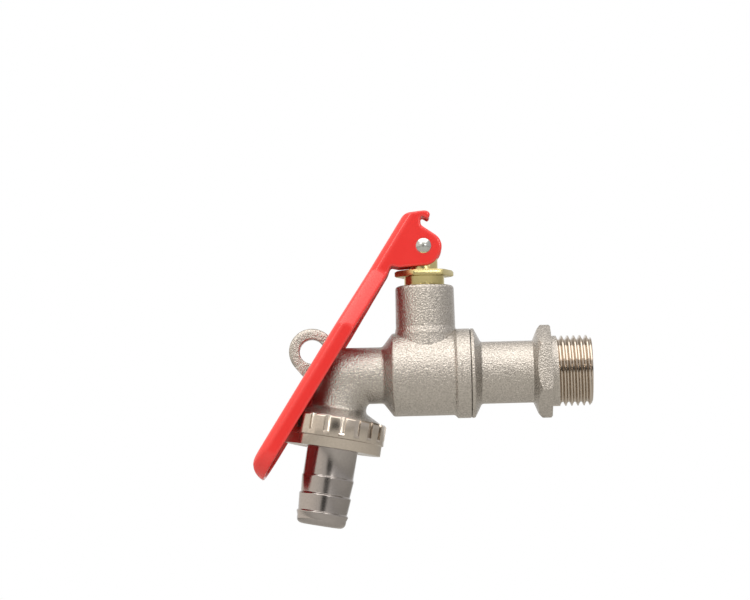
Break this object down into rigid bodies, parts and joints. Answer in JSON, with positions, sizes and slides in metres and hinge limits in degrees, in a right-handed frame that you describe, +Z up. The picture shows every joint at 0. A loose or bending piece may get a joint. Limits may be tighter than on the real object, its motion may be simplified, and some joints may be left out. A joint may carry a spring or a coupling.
{
  "type": "lockable garden tap",
  "caption": "Ball valve garden tap with a fold-down red lever that locks over a padlock eye, a threaded inlet and a union nut with a barbed hose tail.",
  "frame": {"origin": "centre of the shoulder face behind the inlet thread, on the inlet axis", "axes": "+X along the inlet axis out of the inlet, towards the wall; +Z up along the stem axis; +Y to the far side in the picture"},
  "size_m": [0.101, 0.0296, 0.0936],
  "materials": {
    "nickel_blasted": "sand-blasted satin nickel plate on cast brass",
    "nickel_machined": "machined bright nickel plate on brass",
    "brass_bare": "machined bare brass",
    "red_coating": "glossy dipped red coating on sheet steel",
    "zinc_plate": "bright zinc plate on steel",
    "chrome_plate": "polished chrome plate on brass",
    "ptfe_white": "white fluoropolymer",
    "rubber_black": "black nitrile rubber"
  },
  "bodies": {
    "tap": {"tap_body": "nickel_blasted", "inlet_connector": "nickel_blasted", "connector_seal_ring": "rubber_black", "valve_ball": "chrome_plate", "inlet_seat": "ptfe_white", "outlet_seat": "ptfe_white", "valve_stem": "brass_bare", "stem_thrust_washer": "ptfe_white", "stem_seal_ring_lower": "rubber_black", "stem_seal_ring_upper": "rubber_black", "packing_ring_lower": "ptfe_white", "packing_ring_upper": "ptfe_white", "gland_follower": "brass_bare", "gland_nut": "brass_bare"},
    "lever": {"lever": "red_coating", "lever_rivet": "zinc_plate"},
    "hose_tail": {"hose_tail": "nickel_machined", "hose_gasket": "rubber_black"},
    "union_nut": {"union_nut": "nickel_machined"}
  },
  "joints": [
    {"name": "lever_lift", "type": "hinge", "parent": "tap", "child": "lever", "pos_m": [-0.037, 0, 0.03795], "axis": [0, 1, 0], "range_deg": [0, 112]},
    {"name": "hose_tail_drop", "type": "slide", "parent": "tap", "child": "hose_tail", "axis": [-0.1805, 0, -0.9836], "range_m": [0, 0.00363]},
    {"name": "union_nut_turn", "type": "hinge", "parent": "hose_tail", "child": "union_nut", "pos_m": [-0.06557, 0, -0.02164], "axis": [-0.1805, 0, -0.9836], "range_deg": [0, 720]}
  ],
  "couplings": [
    {"joint": "union_nut_turn", "follows": "hose_tail_drop", "rad_per_m": 3463.7}
  ]
}
